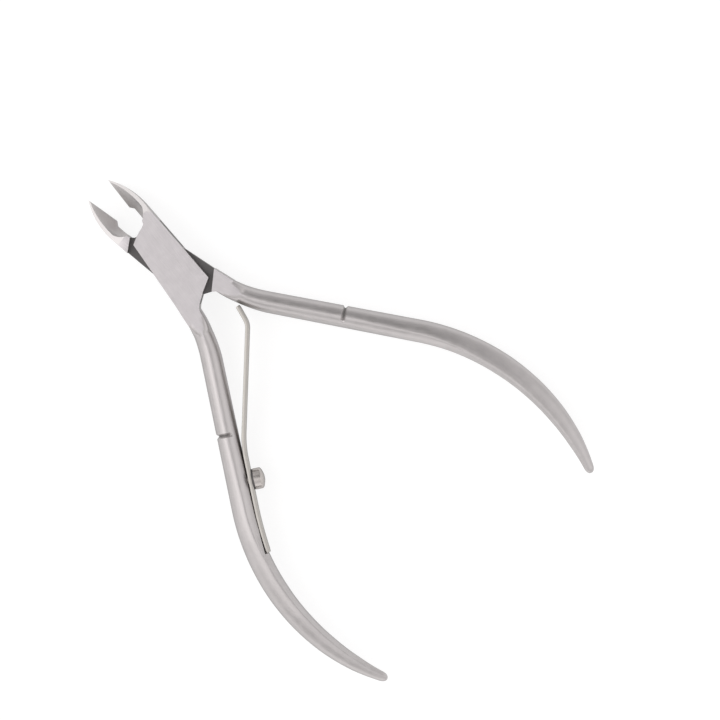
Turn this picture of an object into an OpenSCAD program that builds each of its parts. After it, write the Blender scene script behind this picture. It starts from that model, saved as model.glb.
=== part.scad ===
// Cuticle nipper with a box joint and a single leaf spring.
// Millimetres. The pivot axis is Z through the origin, the lower faces of the joint plates lie on z = 0,
// and +X points to the jaws. The nipper is drawn at rest, with its jaws open.

/* [Joint] */
// Thickness across the joint, plate to plate
head_t = 5.2; // [4.8:0.1:5.6]
// Half-width of the head at the pivot, with the jaws closed
head_half_w = 3.75; // [3.6:0.05:3.9]
// Narrowing of each side of the head towards the jaws, degrees
head_taper = 3.2; // [2.8:0.1:3.6]
// Thickness of the middle layer, where the tenon of the inner lever turns
tenon_t = 1.7; // [1.5:0.1:1.9]
// Running clearance on each face of the tenon
tenon_gap = 0.03; // [0.02:0.01:0.05]
// Diameter of the pivot pin
pin_d = 2.6; // [2.2:0.1:3]
// Radial running clearance of the tenon on the pin
pin_gap = 0.02; // [0.01:0.01:0.05]

/* [Jaws] */
// Angle between the open and the closed jaws, degrees
jaw_opening = 15.5; // [14:0.5:16]
// Pivot axis to jaw tip
jaw_reach = 19.8; // [19:0.1:20.4]
// Length of the cutting edge, tip to heel
edge_len = 6.6; // [6.2:0.1:7]
// How far the heel of the edge stands below the lower face
heel_drop = 2.1; // [1.8:0.1:2.3]
// Height of the tip above the lower face
tip_rise = 0.2; // [0.1:0.05:0.3]
// Where the upper bevel starts, from the pivot axis
bevel_x = 9.8; // [9.4:0.1:10.2]
// Slope of the ground face outside the edge: rise per unit width
fan_slope = 0.9; // [0.85:0.01:0.95]
// Radius of the hollow ground behind the edge
hollow_r = 7; // [6.5:0.1:7.5]
// Gap that stays between each edge and the closing line
edge_gap = 0.02; // [0.01:0.01:0.03]

/* [Handles] */
// Half-angle between the handles along their straight part, with the jaws closed
handle_splay = 26; // [24:0.5:27]
// Length of the straight part
straight_len = 28.8; // [27:0.1:30]
// Radius of the curved grip
grip_r = 44; // [42:0.5:46]
// Angle that the curved grip turns through, degrees
grip_turn = 57.5; // [52:1:58]
// Depth of the V-groove across the outer part of each handle
notch_depth = 0.5; // [0.3:0.05:0.6]

/* [Spring] */
// Thickness of the leaf
leaf_t = 0.8; // [0.7:0.05:0.85]
// Width of the leaf, across the nipper's thickness
leaf_w = 2.8; // [2.4:0.1:3]
// Length of the straight stretch of the leaf
leaf_straight = 19.8; // [19.4:0.05:19.8]

/* [Screw] */
// Diameter of the spring screw's head
screw_head_d = 4.1; // [3.8:0.1:4.2]
// Height of the head, with its neck and its domed end
screw_head_h = 2.35; // [2.1:0.05:2.5]
// Diameter of the screw's shank
screw_d = 2; // [1.8:0.1:2]

/* [Hidden] */
$fn = 64;
slack = 0.02;
mid_z = head_t / 2;
layer_lo = (head_t - tenon_t) / 2;
layer_hi = layer_lo + tenon_t;
steel = [0.80, 0.79, 0.78];
leaf_steel = [0.74, 0.72, 0.68];

// Points on the joint's plan, for a lever whose handle is at +Y and whose jaw is at -Y, jaws closed.
shoulder_x = 7.5;                 // own jaw shoulder meets the side of the head
shoulder_in = [8.85, -0.7];       // own jaw shoulder meets the gap behind the edges
handle_shoulder_x = -7.45;        // own handle shoulder meets the side of the head
plate_x = 6.85;                   // the plate's jaw end meets the far side
plate_back_x = -6.75;             // the plate's handle end meets the near side
block_x = -12;                    // the flat-sided block of the handle ends here
heel_x = jaw_reach - edge_len;
behind_heel = [heel_x - 0.8, -0.72];  // the gap behind the edges widens to here
gap_end = [heel_x - 2.8, -0.8];
wall_x = 11.8;                    // the jaw's outer wall starts to curve in here
outer_back_x = 11.2;              // the outer lever's lower face ends here and drops to the heel
inner_back_x = 8.2;               // the same on the inner lever

// Handle path: an arc out of the block, a straight part and the curved grip.
root_start = [-10.4, 2.6, 174];
root_len = 9.8;
path = [[root_len, -(handle_splay - 6)], [straight_len, 0], [grip_r * grip_turn * PI / 180, grip_turn]];
path_len = path[0][0] + path[1][0] + path[2][0];
notch_s = 24;
notch_half = 0.45;
notch_end = [-0.5, 0.2];          // the groove runs out past the top, from and over these shares of the half-width
screw_s = 33.3;
leaf_end_s = 47.5;
leaf_leave_s = 29.2;
// The grip's section is highest at a crease on its inner side. Its outer side rounds off from there, and a facet
// leads down to the narrow inner flat. The crease's place and the flat's edge are shares of the half-width and
// half-thickness, and facet_share is how far this section has formed.
crease_at = [[40, 0.45], [50, 0.6], [64, 0.68], [74, 0.6], [82, 0.45]];
flat_edge = [[44, 0.58], [62, 0.5], [82, 0.45]];
facet_share = [[26, 0], [36, 0.5], [50, 1]];
facet_end = 150;                  // angle round the section where the facet meets the inner flat
tip_round = 1.2;
// Width of the handle seen from above, and its thickness, by distance along the path
handle_w = [[0, 3.4], [9, 4.1], [21, 4.2], [40, 4.35], [56, 4.25], [64, 3.95], [70, 3.55], [76, 2.85], [82, 1.75]];
handle_t = [[0, 5.18], [2.4, 5.18], [6, 4.85], [22, 4.8], [45, 5], [62, 4.4], [74, 3.2], [82, 1.8]];
block_len = 4.3;                    // the square corners of the block have run out here

// Leaf path, forward from where it leaves the handle: bend away, straight, hook, tip.
leaf_path = [[5, -13.8], [leaf_straight, 0], [1.8, 30], [3, 4]];
leaf_len = leaf_path[0][0] + leaf_straight + leaf_path[2][0] + leaf_path[3][0];
hinge_s = 2.5;                    // where the leaf bends when the handles are squeezed
seat_r = 70;                      // the clamped end follows the grip on this flatter radius
seat_floor_r = 110;               // above its lowest part the seat is flatter still and stands clear of the leaf
seat_step = 0.9;                  // height of that step, below the middle
seat_gap = 0.01;

// Side line of the head, half-width at x
function side(x) = head_half_w - x * tan(head_taper);

// End of an arc of length and turn seg = [length, degrees], from p = [x, y, heading]
function arc_end(p, seg) =
    let (half = seg[1] / 2, chord = seg[1] == 0 ? seg[0] : seg[0] * sin(half) / (half * PI / 180))
    [p[0] + chord * cos(p[2] + half), p[1] + chord * sin(p[2] + half), p[2] + seg[1]];

// Place and heading after distance s along a chain of arcs
function walk(p, segs, s, i = 0) =
    (i == len(segs) - 1 || s <= segs[i][0])
        ? arc_end(p, [s, segs[i][1] * s / segs[i][0]])
        : walk(arc_end(p, segs[i]), segs, s - segs[i][0], i + 1);

// Point to the left of a place p by distance d
function left(p, d) = [p[0] - d * sin(p[2]), p[1] + d * cos(p[2])];

function on_handle(s) = walk(root_start, path, s);
function seat_line(d) = lookup(screw_s, handle_w) / 2 + seat_gap + d;

// The leaf's middle line where it leaves the handle, heading to the jaws
leave = on_handle(leaf_leave_s);
leaf_root = [left(leave, seat_line(leaf_t / 2))[0], left(leave, seat_line(leaf_t / 2))[1], leave[2] - 180];

// ---- Handles -------------------------------------------------------------------------------------------

// Point of the creased section for a half-circle angle t, as shares of half-width (inner side positive) and
// half-thickness
function creased(t, crease, edge) =
    t < 90 ? [crease - (1 + crease) * cos(t), sin(t)] :
    t < facet_end
        ? let (k = (t - 90) / (facet_end - 90)) [crease + (1 - crease) * k, 1 - (1 - edge) * k]
        : [1, edge * (180 - t) / (180 - facet_end)];

// One closed section of the handle at distance s: superellipse at the block, ellipse beyond it, and creased
// along the grip
function section(s, n = 20) =
    let (p = on_handle(s),
         fade = s > path_len - tip_round ? sqrt(max(0.04, 1 - pow((s - path_len + tip_round) / tip_round, 2))) : 1,
         a = lookup(s, handle_w) / 2 * fade,
         b = lookup(s, handle_t) / 2 * fade,
         power = 1 / (1 + 4 * min(1, max(0, (block_len - s) / 4))),
         share = lookup(s, facet_share),
         v_cut = notch_depth * max(0, 1 - abs(s - notch_s) / notch_half))
    [for (i = [0:n - 1])
        let (t = 360 * (i + 0.5) / n,
             c = cos(t),
             h = abs(sin(t)),
             skewed = creased(t > 180 ? 360 - t : t, lookup(s, crease_at), lookup(s, flat_edge)),
             cut = v_cut * min(1, max(0, (c - notch_end[0]) / notch_end[1])),
             u = a * (share * skewed[0] - (1 - share) * sign(c) * pow(abs(c), power)) + cut * c,
             v = b * (share * skewed[1] + (1 - share) * pow(h, power)) - cut * h,
             q = left(p, u))
        [q[0], q[1], mid_z + sign(sin(t)) * v]];

// Solid through a list of closed rings with the same number of points
module loft(rings) {
    n = len(rings[0]);
    m = len(rings);
    quads = [for (j = [0:m - 2], i = [0:n - 1])
        [j * n + i, j * n + (i + 1) % n, (j + 1) * n + (i + 1) % n, (j + 1) * n + i]];
    polyhedron([for (r = rings, p = r) p],
        concat(quads, [[for (i = [n - 1:-1:0]) i]], [[for (i = [0:n - 1]) (m - 1) * n + i]]));
}

module handle() {
    stations = concat([for (s = [0:1:7]) s], [for (s = [9:2.3:23]) s],
        [notch_s - notch_half, notch_s, notch_s + notch_half], [for (s = [26:2.4:80]) s],
        [for (k = [0:4]) path_len - tip_round * (1 - sin(k * 22.5))]);
    loft([for (s = stations) section(s)]);
}

// ---- Head ----------------------------------------------------------------------------------------------

// Plan of the jaw, from its shoulder to the tip
module jaw_plan() {
    wall_y = side(wall_x);
    // The outer wall curves from the side line of the head to the tip on one arc
    along = (jaw_reach - wall_x) * cos(head_taper) + wall_y * sin(head_taper);
    across = wall_y * cos(head_taper) - (jaw_reach - wall_x) * sin(head_taper);
    wall_r = (along * along + across * across) / (2 * across);
    turn = 2 * atan(across / along);
    wall = [for (k = [0:12])
        let (p = arc_end([wall_x, -wall_y, head_taper], [wall_r * turn * k / 12 * PI / 180, turn * k / 12]))
        [p[0], min(p[1], -edge_gap - 0.02)]];
    polygon(concat([[shoulder_x, -side(shoulder_x)]], wall,
        [[jaw_reach, -edge_gap], [heel_x, -edge_gap], behind_heel, gap_end, shoulder_in]));
}

// Plan of the handle's block, from its shoulder back to the handle
module block_plan() {
    polygon([[handle_shoulder_x, side(handle_shoulder_x)], [-10, side(-10) + 0.1], [block_x + 0.25, 4.55],
        [block_x, 4.4], [block_x, 1.2], [-11.1, 1.15], [-10.3, 0.9], [-9.7, 0.35]]);
}

// Plan of the layer that crosses the joint: a plate of the outer lever or the tenon of the inner one
module web_plan(front) {
    polygon(concat([[plate_x, side(plate_x)]], front,
        [[heel_x - 2.8, -2.5], [shoulder_x, -side(shoulder_x)], [plate_back_x, -side(plate_back_x)], [-8.3, -1.55],
        [-9.7, 0.35], [-10.3, 0.9], [-10.3, side(-10) + 0.1], [-10, side(-10) + 0.1],
        [handle_shoulder_x, side(handle_shoulder_x)]]));
}

// Side view of the jaw: lower face, back of the heel, cutting edge and upper bevel
module jaw_profile(back_x) {
    translate([0, 1, 0]) rotate([90, 0, 0]) linear_extrude(6)
        polygon([[shoulder_x - 1, 0], [back_x, 0], [(back_x + heel_x) / 2 + 0.2, -0.38 * heel_drop],
            [heel_x, -heel_drop], [jaw_reach, tip_rise], [jaw_reach, tip_rise + 0.1], [bevel_x, head_t],
            [shoulder_x - 1, head_t]]);
}

// Everything under the ground face that rises outwards from the cutting edge
module fan_cut() {
    edge_slope = (heel_drop + tip_rise) / edge_len;
    far = 12;
    translate([heel_x, 0, -heel_drop])
        multmatrix([[1, 0, 0, 0], [0, 1, 0, 0], [edge_slope, -fan_slope, 1, 0]])
            translate([-far, -far, -far]) cube([2 * far, 2 * far, far]);
}

// The hollow ground above the flat land of the edge; it ends behind the heel on an upright round wall
module hollow_cut() {
    land_tilt = 5.7;
    chord_mid = [-1.04, 1.62];
    lift = sqrt(hollow_r * hollow_r - chord_mid * chord_mid);
    centre = chord_mid + lift * [-chord_mid[1], chord_mid[0]] / -norm(chord_mid);
    intersection() {
        translate([heel_x, centre[0], centre[1] - 0.1])
            rotate([0, 90 - land_tilt, 0]) translate([0, 0, -8]) cylinder(r = hollow_r, h = 20);
        union() {
            translate([heel_x - 0.7, 1.26, -3]) cylinder(r = 3.65, h = 12);
            translate([heel_x - 0.7, -6, -3]) cube([10, 12, 12]);
        }
    }
}

module jaw(back_x) {
    difference() {
        intersection() {
            translate([0, 0, -heel_drop - 1]) linear_extrude(head_t + heel_drop + 1) jaw_plan();
            jaw_profile(back_x);
        }
        fan_cut();
    }
}

// A whole lever; web_layers lists [from, to] heights of the layers that cross the joint, and web_front the
// points where they meet the jaw
module lever(back_x, web_layers, web_front, bore_d) {
    difference() {
        union() {
            jaw(back_x);
            linear_extrude(head_t) block_plan();
            for (layer = web_layers) translate([0, 0, layer[0]]) linear_extrude(layer[1] - layer[0]) web_plan(web_front);
            handle();
        }
        translate([0, 0, -1]) cylinder(d = bore_d, h = head_t + 2);
        hollow_cut();
    }
}

module outer_pose() { rotate([0, 0, -jaw_opening / 2]) children(); }
module inner_pose() { rotate([0, 0, jaw_opening / 2]) mirror([0, 1, 0]) children(); }

// Puts children on the screw's axis, +Z pointing out of the handle's inner side
module at_screw() {
    p = on_handle(screw_s);
    seat = left(p, seat_line(0));
    translate([seat[0], seat[1], mid_z]) rotate([0, 0, p[2] + 90]) rotate([0, 90, 0]) children();
}

// ---- Leaf spring ---------------------------------------------------------------------------------------

// Plan of the leaf between two distances along a chain of arcs, with round or square ends
module leaf_plan(start, segs, from, to, steps, thick = leaf_t, round_ends = false) {
    places = [for (k = [0:steps]) walk(start, segs, from + (to - from) * k / steps)];
    function cap(p, turn) = [for (a = [75:-15:-75]) left([p[0], p[1], p[2] + a + turn - 90], thick / 2)];
    polygon(concat([for (p = places) left(p, thick / 2)], round_ends ? cap(places[steps], 0) : [],
        [for (k = [steps:-1:0]) left(places[k], -thick / 2)], round_ends ? cap(places[0], 180) : []));
}

// The clamped end runs back from where the leaf leaves the handle
back_start = [leaf_root[0], leaf_root[1], leave[2]];
bend_s = root_len + straight_len - leaf_leave_s;
back_len = leaf_end_s - leaf_leave_s;
back_path = [[bend_s, 0], [back_len - bend_s, (back_len - bend_s) / seat_r * 180 / PI]];

// ---- Pieces --------------------------------------------------------------------------------------------

// Room for the clamped end of the leaf, on a given radius and above a given height
module seat_cut(radius, low) {
    turn = (back_len - bend_s) / radius * 180 / PI;
    translate([0, 0, low]) linear_extrude(head_t + 2)
        leaf_plan([left(back_start, -seat_gap)[0], left(back_start, -seat_gap)[1], back_start[2]],
            [[bend_s, 0], [back_len - bend_s, turn]], 0, back_len + 0.1, 16, leaf_t + 2 * seat_gap);
}

module outer_lever() {
    color(steel) outer_pose() difference() {
        lever(outer_back_x, [[0, layer_lo], [layer_hi, head_t]],
            [[7.75, 1.85], [8.15, 0.95], [8.45, 0.1], [8.8, -0.5], [9.3, -0.7], gap_end], pin_d);
        // Seat for the leaf, and the screw's threaded blind hole
        seat_cut(seat_r, -1);
        seat_cut(seat_floor_r, mid_z - seat_step);
        at_screw() translate([0, 0, -2.9]) cylinder(d = screw_d + 2 * slack, h = 4);
    }
}

module inner_lever() {
    color(steel) inner_pose()
        lever(inner_back_x, [[layer_lo + tenon_gap, layer_hi - tenon_gap]],
            [[7.4, 1.9], [8, 0.4], [8.2, -0.25], shoulder_in, gap_end], pin_d + 2 * pin_gap);
}

module pivot_pin() {
    color(steel) cylinder(d = pin_d, h = head_t);
}

module spring_clamped_leaf() {
    color(leaf_steel) outer_pose() difference() {
        translate([0, 0, mid_z - leaf_w / 2]) linear_extrude(leaf_w) union() {
            leaf_plan(back_start, back_path, 0, back_len, 12);
            leaf_plan(leaf_root, leaf_path, 0, hinge_s - leaf_t / 2 - 0.05, 4);
        }
        at_screw() translate([0, 0, -1]) cylinder(d = screw_d + 4 * slack, h = leaf_t + 2);
    }
}

module spring_free_leaf() {
    color(leaf_steel) outer_pose() translate([0, 0, mid_z - leaf_w / 2]) linear_extrude(leaf_w)
        leaf_plan(leaf_root, leaf_path, hinge_s, leaf_len - leaf_t / 2, 40, round_ends = true);
}

module spring_screw() {
    head_r = screw_head_d / 2;
    neck_h = 0.3;
    undercut = 0.1;
    wall_h = screw_head_h - 0.85;
    edge_r = 0.4;
    color(steel) outer_pose() at_screw() {
        translate([0, 0, -2.5]) cylinder(d = screw_d, h = 2.5 + leaf_t + seat_gap);
        translate([0, 0, leaf_t + seat_gap]) difference() {
            rotate_extrude() polygon(concat([[0, 0], [head_r - undercut, 0], [head_r - undercut, neck_h], [head_r, neck_h]],
                [for (a = [0:15:60]) [head_r - edge_r + edge_r * cos(a), wall_h + edge_r * sin(a)]],
                [for (k = [1:6]) let (u = (head_r - edge_r / 2) * (1 - k / 6))
                    [u, screw_head_h - (screw_head_h - wall_h - 0.35) * pow(u / (head_r - edge_r / 2), 2)]]));
            translate([-0.3, -screw_head_d, screw_head_h - 0.95]) cube([0.6, 2 * screw_head_d, 2]);
        }
    }
}

outer_lever();
inner_lever();
pivot_pin();
spring_clamped_leaf();
spring_free_leaf();
spring_screw();
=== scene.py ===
import math

import bmesh
import bpy
import numpy as np
from mathutils import Matrix, Vector


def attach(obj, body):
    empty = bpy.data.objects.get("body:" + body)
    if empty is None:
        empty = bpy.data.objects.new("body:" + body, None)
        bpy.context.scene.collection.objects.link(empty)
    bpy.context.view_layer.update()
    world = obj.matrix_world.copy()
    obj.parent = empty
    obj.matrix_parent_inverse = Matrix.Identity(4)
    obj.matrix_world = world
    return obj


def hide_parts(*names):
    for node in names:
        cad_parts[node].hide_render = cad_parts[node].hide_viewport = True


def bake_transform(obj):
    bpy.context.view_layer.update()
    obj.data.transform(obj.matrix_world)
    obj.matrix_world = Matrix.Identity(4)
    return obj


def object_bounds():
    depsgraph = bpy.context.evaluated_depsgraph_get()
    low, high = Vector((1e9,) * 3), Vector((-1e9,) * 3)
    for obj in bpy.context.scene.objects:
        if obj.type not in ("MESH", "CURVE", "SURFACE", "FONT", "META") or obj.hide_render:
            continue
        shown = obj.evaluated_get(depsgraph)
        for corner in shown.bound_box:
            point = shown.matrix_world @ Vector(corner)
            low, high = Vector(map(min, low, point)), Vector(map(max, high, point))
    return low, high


# Cuticle nipper. Shapes are worked out in millimetres in each lever's own frame, with the jaws closed, and
# turned to rest by half of the jaw opening, as in the CAD source. SCALE takes them to metres.
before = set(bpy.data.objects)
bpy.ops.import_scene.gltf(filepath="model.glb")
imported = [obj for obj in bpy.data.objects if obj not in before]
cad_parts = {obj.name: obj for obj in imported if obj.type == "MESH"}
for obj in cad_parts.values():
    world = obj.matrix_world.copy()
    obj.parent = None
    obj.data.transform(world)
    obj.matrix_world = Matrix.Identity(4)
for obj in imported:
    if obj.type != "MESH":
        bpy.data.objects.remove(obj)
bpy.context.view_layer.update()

SCALE = 0.001
HALF_OPEN = math.radians(15.5 / 2)

# Head: thickness, the heights of the tenon between the plates, and where the CAD head gives way to the handle
HEAD_T = 5.2
MID_Z = HEAD_T / 2
TENON_LOW, TENON_HIGH, TENON_MARGIN = 1.75, 3.45, 0.06
BLOCK_CUT_X = -11.8
JAW_X = 9.5
PIN_RADIUS = 1.3
EDGE_ROUND = 0.09

# Handle: a start (x, y, heading in degrees), then arcs of (length, turn in degrees). s is the distance along
ROOT_START = (-10.4, 2.6, 174)
ROOT_LEN, STRAIGHT_LEN, GRIP_R, GRIP_TURN = 9.8, 28.8, 44, 57.5
HANDLE_PATH = ((ROOT_LEN, -20), (STRAIGHT_LEN, 0), (GRIP_R * math.radians(GRIP_TURN), GRIP_TURN))
PATH_LEN = sum(length for length, _ in HANDLE_PATH)
BLOCK_LEN, BLOCK_FADE, BLOCK_SQUARENESS = 4.3, 4, 4
NOTCH_S, NOTCH_HALF, NOTCH_DEPTH, NOTCH_END = 24, 0.45, 0.5, (-0.5, 0.2)
TIP_ROUND = 1.2

# Tables of (s, value): full width and thickness in mm, then, all as shares, where the grip's crease lies across
# it, how thick its flat inner edge is, and how far its section is creased. FACET_END is an angle in degrees
HANDLE_W = (
    (0, 3.4), (9, 4.1), (21, 4.2), (40, 4.35), (56, 4.25), (64, 3.95), (70, 3.55), (76, 2.85), (82, 1.75)
)
HANDLE_T = ((0, 5.18), (2.4, 5.18), (6, 4.85), (22, 4.8), (45, 5), (62, 4.4), (74, 3.2), (82, 1.8))
CREASE_AT = ((40, 0.45), (50, 0.6), (64, 0.68), (74, 0.6), (82, 0.45))
FLAT_EDGE = ((44, 0.58), (62, 0.5), (82, 0.45))
FACET_SHARE = ((26, 0), (36, 0.5), (50, 1))
FACET_END = 150

# Leaf: against the handle from LEAF_END_S to LEAF_LEAVE_S, then along LEAF_PATH to its hook.
LEAF_T, LEAF_W, LEAF_STRAIGHT, LEAF_CORNER = 0.8, 2.8, 19.8, 0.13
LEAF_LEAVE_S, LEAF_END_S, SCREW_S, SEAT_R, SEAT_GAP = 29.2, 47.5, 33.3, 70, 0.01
LEAF_PATH = ((5, -13.8), (LEAF_STRAIGHT, 0), (1.8, 30), (3, 4))
LEAF_LEN = sum(length for length, _ in LEAF_PATH)
SEAT_FLOOR_R, SEAT_STEP = 110, 0.9

# Screw, from the face it is screwed to
SCREW_HEAD_R, SCREW_HEAD_H, SCREW_R = 2.05, 2.35, 1.0
SCREW_NECK_H, SCREW_UNDERCUT = 0.3, 0.1
SCREW_LEN, SCREW_CHAMFER, SCREW_SHOULDER, SCREW_DOME_H = 2.5, 0.15, 0.4, 0.85
SLOT_W, SLOT_DEPTH = 0.56, 0.95
HOLE_LEN, HOLE_GAP = 2.9, 0.02


# ---- Paths ------------------------------------------------------------------------------------------------


def lookup(table, s):
    return float(np.interp(s, [row[0] for row in table], [row[1] for row in table]))


def arc_end(place, length, turn):
    x, y, heading = place
    half = math.radians(turn / 2)
    chord = length if turn == 0 else length * math.sin(half) / half
    along = math.radians(heading) + half
    return (x + chord * math.cos(along), y + chord * math.sin(along), heading + turn)


def walk(place, path, s):
    """Place and heading after distance s along a chain of arcs."""
    for length, turn in path[:-1]:
        if s <= length:
            return arc_end(place, s, turn * s / length)
        place, s = arc_end(place, length, turn), s - length
    length, turn = path[-1]
    return arc_end(place, s, turn * s / length)


def left(place, distance):
    x, y, heading = place
    a = math.radians(heading)
    return (x - distance * math.sin(a), y + distance * math.cos(a))


def on_handle(s):
    return walk(ROOT_START, HANDLE_PATH, s)


def to_rest(lever):
    """Matrix from a lever's own frame in millimetres to the row frame in metres, at rest."""
    turn = Matrix.Rotation(-HALF_OPEN if lever == "outer" else HALF_OPEN, 4, "Z")
    mirror = Matrix.Diagonal((1, 1 if lever == "outer" else -1, 1, 1))
    return Matrix.Scale(SCALE, 4) @ turn @ mirror


# ---- Mesh tools -------------------------------------------------------------------------------------------


def new_object(name, bm, matrix=None):
    if matrix is not None:
        bm.transform(matrix)
        if matrix.determinant() < 0:
            bmesh.ops.reverse_faces(bm, faces=bm.faces)
    mesh = bpy.data.meshes.new(name)
    bm.to_mesh(mesh)
    bm.free()
    piece = bpy.data.objects.new(name, mesh)
    bpy.context.scene.collection.objects.link(piece)
    return piece


def loft(rings):
    """Closed skin through rings of points, with the ends filled."""
    bm = bmesh.new()
    rows = [[bm.verts.new(p) for p in ring] for ring in rings]
    n = len(rows[0])
    for a, b in zip(rows, rows[1:]):
        for i in range(n):
            bm.faces.new((a[i], a[(i + 1) % n], b[(i + 1) % n], b[i]))
    bm.faces.new(rows[0][::-1])
    bm.faces.new(rows[-1])
    bmesh.ops.recalc_face_normals(bm, faces=bm.faces)
    return bm


def prism(outline, low, high):
    """Solid between two heights over a closed outline of (x, y) points."""
    return loft([[(x, y, low) for x, y in outline], [(x, y, high) for x, y in outline]])


def boolean(target, tool, operation):
    """Applies one exact boolean to target and removes the tool."""
    modifier = target.modifiers.new("cut", "BOOLEAN")
    modifier.operation, modifier.object, modifier.solver = operation, tool, "EXACT"
    graph = bpy.context.evaluated_depsgraph_get()
    made = bpy.data.meshes.new_from_object(target.evaluated_get(graph))
    target.modifiers.clear()
    old, target.data = target.data, made
    bpy.data.meshes.remove(old)
    bpy.data.objects.remove(tool)


def shade(piece, sharp_angle=32):
    """Smooth faces, with edges sharper than the angle kept crisp."""
    bm = bmesh.new()
    bm.from_mesh(piece.data)
    limit = math.radians(sharp_angle)
    for face in bm.faces:
        face.smooth = True
    for edge in bm.edges:
        edge.smooth = len(edge.link_faces) == 2 and edge.calc_face_angle(0) < limit
    bm.to_mesh(piece.data)
    bm.free()


# ---- Levers -----------------------------------------------------------------------------------------------


def creased(t, crease, edge):
    """Point of the creased section for a half-circle angle t, as shares of half-width and half-thickness."""
    if t < 90:
        return crease - (1 + crease) * math.cos(math.radians(t)), math.sin(math.radians(t))
    if t < FACET_END:
        k = (t - 90) / (FACET_END - 90)
        return crease + (1 - crease) * k, 1 - (1 - edge) * k
    return 1, edge * (180 - t) / (180 - FACET_END)


def handle_section(s, count=72):
    """Closed ring: superellipse at the block, ellipse beyond it, and creased along the grip."""
    place = on_handle(s)
    into_tip = (s - PATH_LEN + TIP_ROUND) / TIP_ROUND
    fade = math.sqrt(max(0.0, 1 - into_tip**2)) if into_tip > 0 else 1
    a = lookup(HANDLE_W, s) / 2 * fade
    b = lookup(HANDLE_T, s) / 2 * fade
    power = 1 / (1 + BLOCK_SQUARENESS * min(1, max(0, (BLOCK_LEN - s) / BLOCK_FADE)))
    share = lookup(FACET_SHARE, s)
    v_cut = NOTCH_DEPTH * max(0, 1 - abs(s - NOTCH_S) / NOTCH_HALF)
    ring = []
    for i in range(count):
        t = 360 * (i + 0.5) / count
        c, sine = math.cos(math.radians(t)), math.sin(math.radians(t))
        h = abs(sine)
        skewed_u, skewed_v = creased(min(t, 360 - t), lookup(CREASE_AT, s), lookup(FLAT_EDGE, s))
        cut = v_cut * min(1, max(0, (c - NOTCH_END[0]) / NOTCH_END[1]))
        u = a * (share * skewed_u - (1 - share) * math.copysign(abs(c) ** power, c)) + cut * c
        v = b * (share * skewed_v + (1 - share) * h**power) - cut * h
        x, y = left(place, u)
        ring.append((x, y, MID_Z + math.copysign(v, sine)))
    return ring


def handle_stations():
    """Distances of the handle's rings, closest together in the block, the groove and the tip."""
    half = (0.1, 0.5, 0.9, 1, 1.2, 1.6)
    root = list(np.arange(0, BLOCK_LEN, 0.3)) + list(np.arange(BLOCK_LEN, NOTCH_S - 1, 0.45))
    notch = [NOTCH_S + NOTCH_HALF * k for k in (*[-k for k in reversed(half)], 0, *half)]
    grip = list(np.arange(NOTCH_S + 1.1, PATH_LEN - TIP_ROUND - 0.2, 0.5))
    tip = [PATH_LEN - TIP_ROUND * (1 - math.sin(math.radians(a))) for a in range(0, 90, 9)]
    return root + notch + grip + tip


def leaf_places(start, path, low, high, steps):
    """Evenly spaced places along a path between two distances."""
    return [walk(start, path, low + (high - low) * k / steps) for k in range(steps + 1)]


def strip_outline(places, thick):
    """Closed outline of a strip of a given thickness with its middle line through the places."""
    return [left(p, thick / 2) for p in places] + [left(p, -thick / 2) for p in reversed(places)]


# Where the leaf leaves the handle, and the path of its clamped end back along the handle's inner side
SEAT_OUT = lookup(HANDLE_W, SCREW_S) / 2 + SEAT_GAP
leave = on_handle(LEAF_LEAVE_S)
leaf_root = (*left(leave, SEAT_OUT + LEAF_T / 2), leave[2] - 180)
back_start = (leaf_root[0], leaf_root[1], leave[2])
BEND_S = ROOT_LEN + STRAIGHT_LEN - LEAF_LEAVE_S
BACK_LEN = LEAF_END_S - LEAF_LEAVE_S
BACK_PATH = ((BEND_S, 0), (BACK_LEN - BEND_S, math.degrees((BACK_LEN - BEND_S) / SEAT_R)))


def screw_matrix():
    """From the screw's own frame, +Z out of the handle's inner side, to the outer lever's frame."""
    place = on_handle(SCREW_S)
    return (
        Matrix.Translation((*left(place, SEAT_OUT), MID_Z))
        @ Matrix.Rotation(math.radians(place[2] + 90), 4, "Z")
        @ Matrix.Rotation(math.radians(90), 4, "Y")
    )


def cylinder(radius, low, high, count=48):
    turns = [2 * math.pi * k / count for k in range(count)]
    return prism([(radius * math.cos(a), radius * math.sin(a)) for a in turns], low, high)


def head_from_cad(lever):
    """The head of a CAD lever in the lever's own frame, cut off behind the handle's block."""
    bm = bmesh.new()
    bm.from_mesh(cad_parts[lever + "_lever"].data)
    back = to_rest(lever).inverted()
    bm.transform(back)
    if back.determinant() < 0:
        bmesh.ops.reverse_faces(bm, faces=bm.faces)
    bmesh.ops.remove_doubles(bm, verts=bm.verts, dist=0.002)
    bmesh.ops.bisect_plane(
        bm, geom=bm.verts[:] + bm.edges[:] + bm.faces[:], dist=1e-5,
        plane_co=(BLOCK_CUT_X, 0, 0), plane_no=(-1, 0, 0), clear_outer=True,
    )
    bmesh.ops.contextual_create(bm, geom=[e for e in bm.edges if e.is_boundary])
    bmesh.ops.dissolve_limit(bm, angle_limit=math.radians(0.6), verts=bm.verts[:], edges=bm.edges[:])
    bmesh.ops.recalc_face_normals(bm, faces=bm.faces)
    return bm


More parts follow.
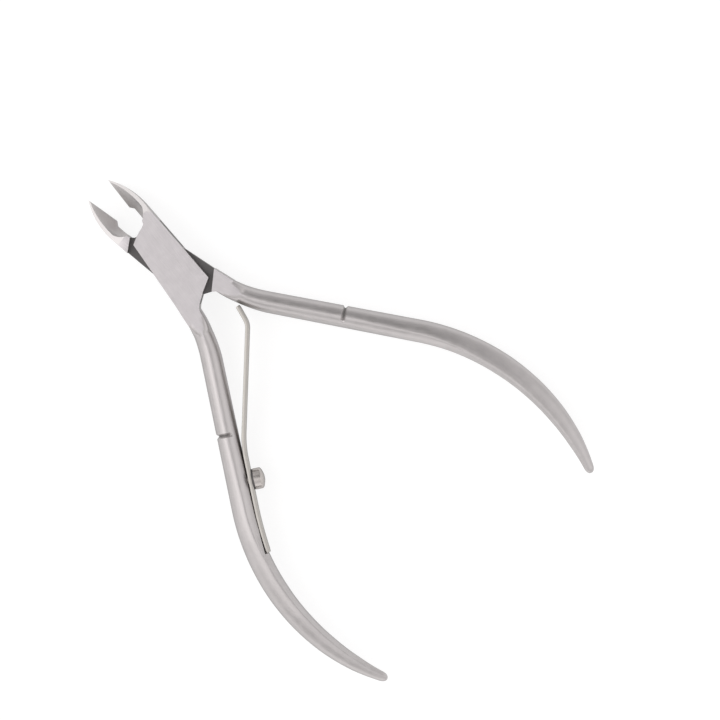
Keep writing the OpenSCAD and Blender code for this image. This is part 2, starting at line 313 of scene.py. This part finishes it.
def eased(bm):
    """Small rounds along the long outside edges of the head's plates, block and jaws."""
    shortest, least_angle = 0.3, 0.5
    chosen = []
    for edge in bm.edges:
        if len(edge.link_faces) != 2 or edge.calc_length() < shortest:
            continue
        middle = (edge.verts[0].co + edge.verts[1].co) / 2
        near_pin = math.hypot(middle.x, middle.y) < PIN_RADIUS + 0.3
        at_cut = middle.x < BLOCK_CUT_X + 0.05
        on_face = abs(middle.z) < 0.01 or abs(middle.z - HEAD_T) < 0.01
        heights = sorted(abs(face.normal.z) for face in edge.link_faces)
        on_jaw_wall = middle.x > JAW_X and middle.z > 0.5 and heights[0] < 0.05 and 0.7 < heights[1] < 0.97
        if (on_face or on_jaw_wall) and edge.calc_face_angle(0) > least_angle and not near_pin and not at_cut:
            chosen.append(edge)
    bmesh.ops.bevel(
        bm, geom=chosen, offset=EDGE_ROUND, offset_type="OFFSET", segments=2, profile=0.5, affect="EDGES",
        clamp_overlap=True,
    )
    return bm


def make_lever(lever):
    """Head from the CAD, lofted handle and, on the outer lever, the leaf's seat and the screw's hole."""
    head = new_object(lever + "_lever_body", eased(head_from_cad(lever)))
    handle = new_object("handle", loft([handle_section(s) for s in handle_stations()]))
    boolean(head, handle, "UNION")
    if lever == "outer":
        start = (*left(back_start, -SEAT_GAP), back_start[2])
        for radius, bottom in ((SEAT_R, -1), (SEAT_FLOOR_R, MID_Z - SEAT_STEP)):
            seat_turn = math.degrees((BACK_LEN - BEND_S) / radius)
            seat_path = ((BEND_S, 0), (BACK_LEN - BEND_S, seat_turn))
            places = leaf_places(start, seat_path, 0, BACK_LEN + 0.1, 24)
            outline = strip_outline(places, LEAF_T + 2 * SEAT_GAP)
            boolean(head, new_object("seat", prism(outline, bottom, HEAD_T + 1)), "DIFFERENCE")
        hole = cylinder(SCREW_R + HOLE_GAP, -HOLE_LEN, 1.1)
        boolean(head, new_object("hole", hole, screw_matrix()), "DIFFERENCE")
    bm = bmesh.new()
    bm.from_mesh(head.data)
    head_grain(bm)
    matrix = to_rest(lever)
    bm.transform(matrix)
    if matrix.determinant() < 0:
        bmesh.ops.reverse_faces(bm, faces=bm.faces)
    bm.to_mesh(head.data)
    bm.free()
    shade(head)
    weighted = head.modifiers.new("flat_faces", "WEIGHTED_NORMAL")
    weighted.keep_sharp, weighted.weight = True, 80
    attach(head, lever)
    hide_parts(lever + "_lever")
    return head


def head_grain(bm):
    """Stores each vertex's distance along the lever, across it and its height, for the brushing's grain."""
    layer = bm.verts.layers.float_vector.new("grain")
    s_values = np.arange(0, PATH_LEN + 0.3, 0.25)
    places = np.array([on_handle(s) for s in s_values])
    points = np.array([v.co[:] for v in bm.verts])
    gaps = (points[:, None, 0] - places[None, :, 0]) ** 2 + (points[:, None, 1] - places[None, :, 1]) ** 2
    nearest = gaps.argmin(1)
    for v, point, k in zip(bm.verts, points, nearest):
        if point[0] > ROOT_START[0]:
            v[layer] = Vector((ROOT_START[0] - point[0], point[1] - ROOT_START[1], point[2]))
            continue
        x, y, heading = places[k]
        a = math.radians(heading)
        along = (point[0] - x) * math.cos(a) + (point[1] - y) * math.sin(a)
        across = (point[0] - x) * -math.sin(a) + (point[1] - y) * math.cos(a)
        v[layer] = Vector((s_values[k] + along, -across, point[2]))


outer_lever = make_lever("outer")
inner_lever = make_lever("inner")


# ---- Leaf spring and its screw ----------------------------------------------------------------------------


def make_leaf():
    """One bent strip from its square clamped end to its hooked, rounded tip."""
    back = leaf_places(back_start, BACK_PATH, BACK_LEN, 0.3, 24)
    back = [(x, y, heading + 180) for x, y, heading in back]
    front = leaf_places(leaf_root, LEAF_PATH, 0.3, LEAF_LEN, 110)
    places = back + front
    half_w, half_t, corner = LEAF_W / 2, LEAF_T / 2, LEAF_CORNER
    rings = []
    for index, place in enumerate(places):
        shrink = 0.06 if index in (0, len(places) - 1) else 0
        ring = []
        for side_t, side_w, first in ((1, 1, 0), (-1, 1, 90), (-1, -1, 180), (1, -1, 270)):
            for step in (0, 30, 60, 90):
                a = math.radians(first + step)
                ring_t = side_t * (half_t - corner - shrink) + corner * math.cos(a)
                ring_w = side_w * (half_w - corner - shrink) + corner * math.sin(a)
                x, y = left(place, ring_t)
                ring.append((x, y, MID_Z + ring_w))
        rings.append(ring)
    matrix = to_rest("outer")
    leaf = new_object("leaf_spring", loft(rings), matrix)
    shade(leaf)
    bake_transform(leaf)
    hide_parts("spring_clamped_leaf", "spring_free_leaf")
    return leaf


def lathe(profile, count=96):
    """Solid of revolution about Z of (radius, height) points, from the axis back to the axis."""
    bm = bmesh.new()
    low = bm.verts.new((0, 0, profile[0][1]))
    high = bm.verts.new((0, 0, profile[-1][1]))
    rows = []
    for k in range(count):
        a = 2 * math.pi * k / count
        rows.append([bm.verts.new((r * math.cos(a), r * math.sin(a), z)) for r, z in profile[1:-1]])
    for a, b in zip(rows, rows[1:] + rows[:1]):
        bm.faces.new((low, b[0], a[0]))
        bm.faces.new((high, a[-1], b[-1]))
        for i in range(len(a) - 1):
            bm.faces.new((a[i], b[i], b[i + 1], a[i + 1]))
    bmesh.ops.recalc_face_normals(bm, faces=bm.faces)
    return bm


def make_screw():
    """Raised cheese-head screw: shank, undercut neck, straight side, rounded shoulder, domed end and slot."""
    base = LEAF_T + SEAT_GAP
    top = base + SCREW_HEAD_H
    neck_r, neck_top, side_r = SCREW_HEAD_R - SCREW_UNDERCUT, base + SCREW_NECK_H, SCREW_HEAD_R - 0.01
    side_top, dome_top = top - SCREW_DOME_H, top - 0.01
    profile = [(0, -SCREW_LEN), (SCREW_R - SCREW_CHAMFER, -SCREW_LEN), (SCREW_R, SCREW_CHAMFER - SCREW_LEN)]
    profile += [(SCREW_R, base), (neck_r, base), (neck_r, neck_top)]
    profile += [(side_r - 0.03, neck_top), (side_r, neck_top + 0.04)]
    for angle in range(0, 61, 6):
        turn = math.radians(angle)
        inward, upward = SCREW_SHOULDER * (1 - math.cos(turn)), SCREW_SHOULDER * math.sin(turn)
        profile.append((side_r - inward, side_top + upward))
    rim_r, rim_h = profile[-1]
    for k in range(1, 11):
        share = 1 - k / 10
        profile.append((rim_r * share, dome_top - (dome_top - rim_h) * share**2))
    screw = new_object("spring_screw_turned", lathe(profile))
    half, reach = SLOT_W / 2, 2.4
    slot_outline = [(-half, -reach), (half, -reach), (half, reach), (-half, reach)]
    boolean(screw, new_object("slot", prism(slot_outline, top - SLOT_DEPTH, top + 1)), "DIFFERENCE")
    screw.data.transform(to_rest("outer") @ screw_matrix())
    shade(screw)
    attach(screw, "outer")
    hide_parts("spring_screw")
    return screw


leaf_spring = make_leaf()
spring_screw = make_screw()
pivot_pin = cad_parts["pivot_pin"]


# ---- Materials --------------------------------------------------------------------------------------------


class Nodes:
    """Short way to build a node material."""

    def __init__(self, name):
        self.material = bpy.data.materials.new(name)
        self.material.use_nodes = True
        self.tree = self.material.node_tree
        self.shader = self.tree.nodes["Principled BSDF"]

    def add(self, kind, **values):
        node = self.tree.nodes.new("ShaderNode" + kind)
        for key, value in values.items():
            if hasattr(node, key):
                setattr(node, key, value)
            else:
                node.inputs[key.replace("_", " ")].default_value = value
        return node

    def link(self, source, target):
        self.tree.links.new(source, target)


def steel(name, colour, roughness, grain, bump, stain=0.06, coordinates="grain"):
    """Satin steel. grain is the (along, across, height) density of the brushing per millimetre."""
    unit = 1 if coordinates == "grain" else 1 / SCALE
    m = Nodes(name)
    m.shader.inputs["Metallic"].default_value = 1.0
    m.shader.inputs["Specular Tint"].default_value = (0.55, 0.55, 0.55, 1)
    if coordinates == "grain":
        where = m.add("Attribute", attribute_name="grain").outputs["Vector"]
    else:
        where = m.add("TexCoord").outputs["Object"]
    stretch = m.add("VectorMath", operation="MULTIPLY")
    m.link(where, stretch.inputs[0])
    stretch.inputs[1].default_value = [g * unit for g in grain]
    brushed = m.add("TexNoise", Scale=1.0, Detail=4.0, Roughness=0.65)
    m.link(stretch.outputs[0], brushed.inputs["Vector"])
    mottled = m.add("TexNoise", Scale=0.55 * unit, Detail=3.0, Roughness=0.55)
    m.link(where, mottled.inputs["Vector"])

    # The colour mix node's factor is input 0 and its two colours are inputs 6 and 7
    tone = m.add("Mix", data_type="RGBA", blend_type="MIX")
    tone.inputs[6].default_value = (*[c * (1 - stain) for c in colour], 1)
    tone.inputs[7].default_value = (*[min(1, c * (1 + stain)) for c in colour], 1)
    both = m.add("Math", operation="MULTIPLY_ADD")
    m.link(brushed.outputs["Fac"], both.inputs[0])
    both.inputs[1].default_value = 0.5
    half = m.add("Math", operation="MULTIPLY")
    m.link(mottled.outputs["Fac"], half.inputs[0])
    half.inputs[1].default_value = 0.5
    m.link(half.outputs[0], both.inputs[2])
    m.link(both.outputs[0], tone.inputs[0])
    m.link(tone.outputs[2], m.shader.inputs["Base Color"])

    rough = m.add("MapRange", From_Min=0.3, From_Max=0.7, To_Min=roughness - 0.06, To_Max=roughness + 0.07)
    m.link(both.outputs[0], rough.inputs["Value"])
    m.link(rough.outputs["Result"], m.shader.inputs["Roughness"])
    relief = m.add("Bump", Strength=bump, Distance=BRUSH_DEPTH)
    m.link(brushed.outputs["Fac"], relief.inputs["Height"])
    m.link(relief.outputs["Normal"], m.shader.inputs["Normal"])
    return m.material


BRUSH_DEPTH = 0.00002
STEEL = (0.515, 0.493, 0.49)
GROUND_STEEL = (0.57, 0.545, 0.555)
satin = steel("satin_steel", STEEL, 0.34, (0.5, 4.5, 4.5), 1.0, stain=0.2)
ground = steel("ground_steel", GROUND_STEEL, 0.36, (0.35, 6, 6), 1.0, stain=0.24)
honed = steel("honed_steel", (0.59, 0.57, 0.565), 0.34, (0.5, 6, 6), 0.9, stain=0.1)
# Dark steel painted as shade, for the slot beside the tenon and the undercut neck under the screw's head
recess_shade = steel("recess_shade_steel", (0.135, 0.13, 0.13), 0.5, (0.8, 6, 6), 0.3)
# Darker steel painted as shade, for the dark part of the handle's groove
notch_shade = steel("notch_shade_steel", (0.42, 0.41, 0.405), 0.42, (0.8, 6, 6), 0.3)
spring = steel("spring_steel", (0.50, 0.48, 0.45), 0.34, (0.4, 0.4, 5), 0.4, coordinates="object")
turned = steel("screw_steel", (0.52, 0.49, 0.47), 0.22, (3, 3, 3), 0.35, stain=0.1, coordinates="object")
pin_steel = steel("pin_steel", GROUND_STEEL, 0.36, (0.35, 6, 6), 0.9, stain=0.24, coordinates="object")

# The order of a lever's materials, and where on it the plates, the bevels and the groove's painted shade are.
# The slot beside the tenon is painted dark as shade
SATIN, RECESS_SHADE, NOTCH_SHADE, GROUND, HONED = range(5)
PLATE_NORMAL, SLOT_NORMAL, BEVEL_NORMAL = 0.997, 0.9, (0.2, 0.97)
PLATE_END_S = BLOCK_LEN + 0.7
NOTCH_SHADE_HALF, NOTCH_SHADE_FROM = 0.6 * NOTCH_HALF, -0.2


def paint(piece, *materials):
    piece.data.materials.clear()
    for material in materials:
        piece.data.materials.append(material)


def lever_finish_and_shade(face, grain_of):
    """Which of a lever's materials a face has, among its finishes and the dark steel painted as shade in the
    groove and in the slot beside the tenon.
    """
    x, _, z = face.center / SCALE
    s, across, _ = sum((Vector(grain_of[v].vector) for v in face.vertices), Vector()) / len(face.vertices)
    beside_tenon = TENON_LOW - TENON_MARGIN < z < TENON_HIGH + TENON_MARGIN
    # Painted shade: darker steel over the dark part of the groove
    if abs(s - NOTCH_S) < NOTCH_SHADE_HALF and across > NOTCH_SHADE_FROM:
        return NOTCH_SHADE
    # Painted shade: dark steel on the flat faces in the slot beside the tenon
    if beside_tenon and x > BLOCK_CUT_X and abs(face.normal.z) > SLOT_NORMAL:
        return RECESS_SHADE
    if abs(face.normal.z) > PLATE_NORMAL and s < PLATE_END_S and not beside_tenon:
        return GROUND
    if x > JAW_X and BEVEL_NORMAL[0] < face.normal.z < BEVEL_NORMAL[1]:
        return HONED
    return SATIN


for lever in (outer_lever, inner_lever):
    paint(lever, satin, recess_shade, notch_shade, ground, honed)
    for face in lever.data.polygons:
        face.material_index = lever_finish_and_shade(face, lever.data.attributes["grain"].data)

paint(leaf_spring, spring)
# The screw's undercut neck gets the dark steel as painted shade under its head
paint(spring_screw, turned, recess_shade)
to_screw = (to_rest("outer") @ screw_matrix()).inverted()
neck_end = LEAF_T + SEAT_GAP + SCREW_NECK_H + 0.01
for face in spring_screw.data.polygons:
    x, y, z = to_screw @ face.center
    face.material_index = 1 if LEAF_T < z < neck_end and math.hypot(x, y) > SCREW_R else 0
paint(pivot_pin, pin_steel)


# ---- Stage ------------------------------------------------------------------------------------------------

# View directions: the camera looks almost straight down, from a little towards -Y, with the jaws at the
# upper left
ROLL = math.radians(44.5)
TILT = math.radians(3)
IMAGE_RIGHT = Vector((-math.cos(ROLL), -math.sin(ROLL), 0))
IMAGE_UP = Vector((math.sin(ROLL), -math.cos(ROLL), 0))
VIEW_WIDTH = 0.1368
VIEW_OFFSET = Vector((-0.0058, -0.0119, 0))
VIEW_SHIFT = 0.000228
LENS, SENSOR = 200, 36
FLOOR_HALF, FLOOR_GAP, FLOOR_GLOW = 1.5, 0.0002, 0.76

low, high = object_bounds()
centre = (low + high) / 2
target = Vector((centre.x, centre.y, MID_Z * SCALE)) + VIEW_OFFSET + VIEW_SHIFT * IMAGE_RIGHT
distance = VIEW_WIDTH * LENS / SENSOR
camera_data = bpy.data.cameras.new("camera")
camera_data.lens, camera_data.sensor_width = LENS, SENSOR
camera_data.clip_end = 10
camera = bpy.data.objects.new("camera", camera_data)
bpy.context.scene.collection.objects.link(camera)
towards_camera = Vector((0, -math.sin(TILT), math.cos(TILT)))
camera_right = IMAGE_UP.cross(towards_camera).normalized()
camera_up = towards_camera.cross(camera_right)
camera.matrix_world = Matrix.Translation(target + distance * towards_camera) @ Matrix(
    (camera_right, camera_up, towards_camera)
).transposed().to_4x4()
bpy.context.scene.camera = camera

floor_bm = bmesh.new()
bmesh.ops.create_grid(floor_bm, x_segments=1, y_segments=1, size=FLOOR_HALF)
floor = new_object("floor", floor_bm, Matrix.Translation((centre.x, centre.y, low.z - FLOOR_GAP)))
floor_look = Nodes("floor_white")
floor_look.shader.inputs["Base Color"].default_value = (0.3, 0.3, 0.3, 1)
floor_look.shader.inputs["Roughness"].default_value = 0.9
floor_look.shader.inputs["Specular IOR Level"].default_value = 0.1
floor_look.shader.inputs["Emission Color"].default_value = (1, 1, 1, 1)
floor_look.shader.inputs["Emission Strength"].default_value = FLOOR_GLOW
paint(floor, floor_look.material)

world = bpy.data.worlds.new("studio")
bpy.context.scene.world = world
world.use_nodes = True
tree = world.node_tree
background = tree.nodes["Background"]
direction = tree.nodes.new("ShaderNodeTexCoord")


def along_axis(axis):
    """Cosine of the angle between the direction looked in and an axis."""
    dot = tree.nodes.new("ShaderNodeVectorMath")
    dot.operation = "DOT_PRODUCT"
    tree.links.new(direction.outputs["Generated"], dot.inputs[0])
    dot.inputs[1].default_value = axis
    return dot.outputs["Value"]


def direction_of(right, up, out):
    """Direction given by the view's right and up, and straight up out of the floor."""
    return (IMAGE_RIGHT * right + IMAGE_UP * up + Vector((0, 0, out))).normalized()


def soft_patch(total, centre_of, half_angle, amount):
    """Adds a soft round patch of light, or of shade where amount is negative, to the running total."""
    patch = tree.nodes.new("ShaderNodeMapRange")
    patch.interpolation_type = "SMOOTHSTEP"
    patch.inputs["From Min"].default_value = math.cos(math.radians(half_angle))
    patch.inputs["To Max"].default_value = amount
    tree.links.new(along_axis(centre_of), patch.inputs["Value"])
    add = tree.nodes.new("ShaderNodeMath")
    add.operation = "ADD"
    tree.links.new(patch.outputs["Result"], add.inputs[0])
    if isinstance(total, float):
        add.inputs[1].default_value = total
    else:
        tree.links.new(total, add.inputs[1])
    return add.outputs[0]


# Rows of direction, half angle in degrees and amount, added to an even light all round. It is brighter at the
# left, at the right and low at the bottom of the view, with shades overhead towards the top and the lower
# left, and a softbox at the upper left for the jaws' bevels
BASE_LIGHT = 0.83
PATCHES = (
    (direction_of(-0.42, 0.00, 0.91), 28, 0.62),
    (direction_of(-0.25, -0.25, 0.93), 25, 0.25),
    (direction_of(-0.76, 0.00, 0.64), 38, 0.60),
    (direction_of(0.76, 0.00, 0.64), 38, 0.38),
    (direction_of(0.00, 0.40, 0.92), 30, -0.34),
    (direction_of(0.00, 0.70, 0.70), 35, -0.19),
    (direction_of(0.00, 0.94, 0.34), 40, -0.17),
    (direction_of(0.00, -0.98, 0.17), 42, 0.43),
    (direction_of(-0.58, 0.57, 0.59), 30, 0.65),
    (direction_of(-0.70, -0.70, 0.15), 35, 0.30),
    (direction_of(-0.48, -0.56, 0.68), 32, -0.28),
)
light = BASE_LIGHT
for patch_centre, patch_angle, patch_amount in PATCHES:
    light = soft_patch(light, patch_centre, patch_angle, patch_amount)
tree.links.new(light, background.inputs["Strength"])
background.inputs["Color"].default_value = (1.0, 0.985, 0.985, 1)

bpy.context.scene.view_settings.view_transform = "Standard"
